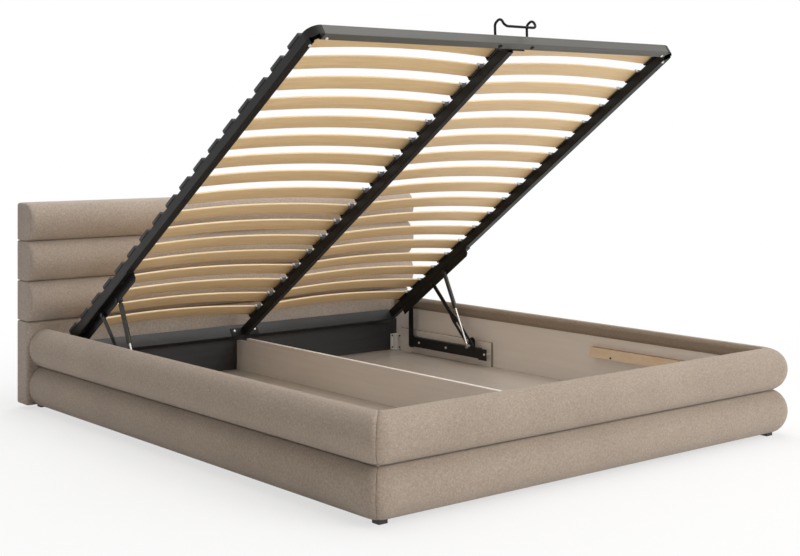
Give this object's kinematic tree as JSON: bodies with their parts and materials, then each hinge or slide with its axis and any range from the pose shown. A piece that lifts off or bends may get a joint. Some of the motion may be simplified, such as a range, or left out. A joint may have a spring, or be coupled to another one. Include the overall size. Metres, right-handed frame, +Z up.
{
  "type": "storage bed",
  "caption": "Upholstered storage bed with channelled headboard and rolled rails; its sprung-slat lid lifts on slotted stays and gas struts over a divided box.",
  "frame": {"origin": "on the floor under the middle of the bed's outline", "axes": "+X to the right seen from the foot end, +Y to the headboard, +Z up; the rest pose has the lid raised"},
  "size_m": [1.856, 2.17, 1.4077],
  "materials": {
    "upholstery_fabric": "matt heathered weave",
    "lining_fabric": "matt weave",
    "frame_timber": "raw",
    "backing_cloth": "matt",
    "interior_board": "smooth matt",
    "dark_board": "smooth matt",
    "pine": "planed",
    "beech": "satin",
    "black_plastic": "matt",
    "white_plastic": "matt",
    "bright_steel": "satin",
    "black_steel": "satin",
    "frame_steel": "satin powder coat"
  },
  "bodies": {
    "base": {"headboard_core": "frame_timber", "headboard_back_cover": "backing_cloth", "headboard_lower_pad": "upholstery_fabric", "headboard_channel_1": "upholstery_fabric", "headboard_channel_2": "upholstery_fabric", "headboard_channel_3": "upholstery_fabric", "roll_right_upper": "upholstery_fabric", "roll_left_upper": "upholstery_fabric", "roll_foot_upper": "upholstery_fabric", "roll_right_lower": "upholstery_fabric", "roll_left_lower": "upholstery_fabric", "roll_foot_lower": "upholstery_fabric", "rail_board_right": "interior_board", "rail_board_left": "interior_board", "rail_board_foot": "interior_board", "lining_strips": "lining_fabric", "head_panel": "dark_board", "divider": "interior_board", "floor_right": "interior_board", "floor_left": "interior_board", "floor_bearers": "frame_timber", "side_battens": "pine", "foot_battens": "pine", "batten_screws": "black_steel", "feet": "black_plastic", "corner_connectors": "white_plastic", "connector_screws": "black_steel", "mount_board_right": "interior_board", "mount_board_left": "interior_board", "lift_bracket_right": "frame_steel", "lift_bracket_left": "frame_steel", "slot_pins": "bright_steel", "bracket_screws": "bright_steel"},
    "lid": {"lid_tube_right": "frame_steel", "lid_tube_left": "frame_steel", "lid_tube_foot": "frame_steel", "lid_tube_head": "frame_steel", "lid_centre_beam": "frame_steel", "lid_corner_right": "frame_steel", "lid_corner_left": "frame_steel", "beam_flanges": "frame_steel", "lid_bracket_right": "frame_steel", "lid_bracket_left": "frame_steel", "pivot_pins": "bright_steel", "slats_right": "beech", "slats_left": "beech", "slat_holders_right": "black_plastic", "slat_holders_left": "black_plastic", "slat_holders_centre": "black_plastic", "mattress_retainer": "frame_steel", "retainer_eyelets": "black_steel", "lid_bolts": "black_steel"},
    "stay_right": {"stay_right": "frame_steel"},
    "cylinder_right": {"gas_cylinder_right": "frame_steel"},
    "rod_right": {"gas_rod_right": "bright_steel"},
    "stay_left": {"stay_left": "frame_steel"},
    "cylinder_left": {"gas_cylinder_left": "frame_steel"},
    "rod_left": {"gas_rod_left": "bright_steel"}
  },
  "joints": [
    {"name": "lid_hinge", "type": "hinge", "parent": "base", "child": "lid", "pos_m": [0, 0.8399, 0.262], "axis": [1, 0, 0], "range_deg": [0, 35], "stiffness_Nm_per_rad": 110, "springref_deg": -166.16},
    {"name": "stay_pivot_right", "type": "hinge", "parent": "lid", "child": "stay_right", "pos_m": [0.79, 0.66218, 0.3785], "axis": [1, 0, 0], "range_deg": [-52.21, 0]},
    {"name": "strut_pivot_right", "type": "hinge", "parent": "lid", "child": "cylinder_right", "pos_m": [0.77, 0.56872, 0.44029], "axis": [1, 0, 0], "range_deg": [-59.76, 0]},
    {"name": "strut_slide_right", "type": "slide", "parent": "cylinder_right", "child": "rod_right", "axis": [0, -0.442, -0.897], "range_m": [-0.0912, 0]},
    {"name": "stay_pivot_left", "type": "hinge", "parent": "lid", "child": "stay_left", "pos_m": [-0.79, 0.66218, 0.3785], "axis": [1, 0, 0], "range_deg": [-52.21, 0]},
    {"name": "strut_pivot_left", "type": "hinge", "parent": "lid", "child": "cylinder_left", "pos_m": [-0.77, 0.56872, 0.44029], "axis": [1, 0, 0], "range_deg": [-59.76, 0]},
    {"name": "strut_slide_left", "type": "slide", "parent": "cylinder_left", "child": "rod_left", "axis": [0, -0.442, -0.897], "range_m": [-0.0912, 0]}
  ],
  "couplings": [
    {"joint": "stay_pivot_right", "follows": "lid_hinge", "ratio": -1.4902},
    {"joint": "strut_pivot_right", "follows": "lid_hinge", "ratio": -1.7059},
    {"joint": "strut_slide_right", "follows": "lid_hinge", "m_per_rad": -0.14918},
    {"joint": "stay_pivot_left", "follows": "lid_hinge", "ratio": -1.4902},
    {"joint": "strut_pivot_left", "follows": "lid_hinge", "ratio": -1.7059},
    {"joint": "strut_slide_left", "follows": "lid_hinge", "m_per_rad": -0.14918}
  ]
}
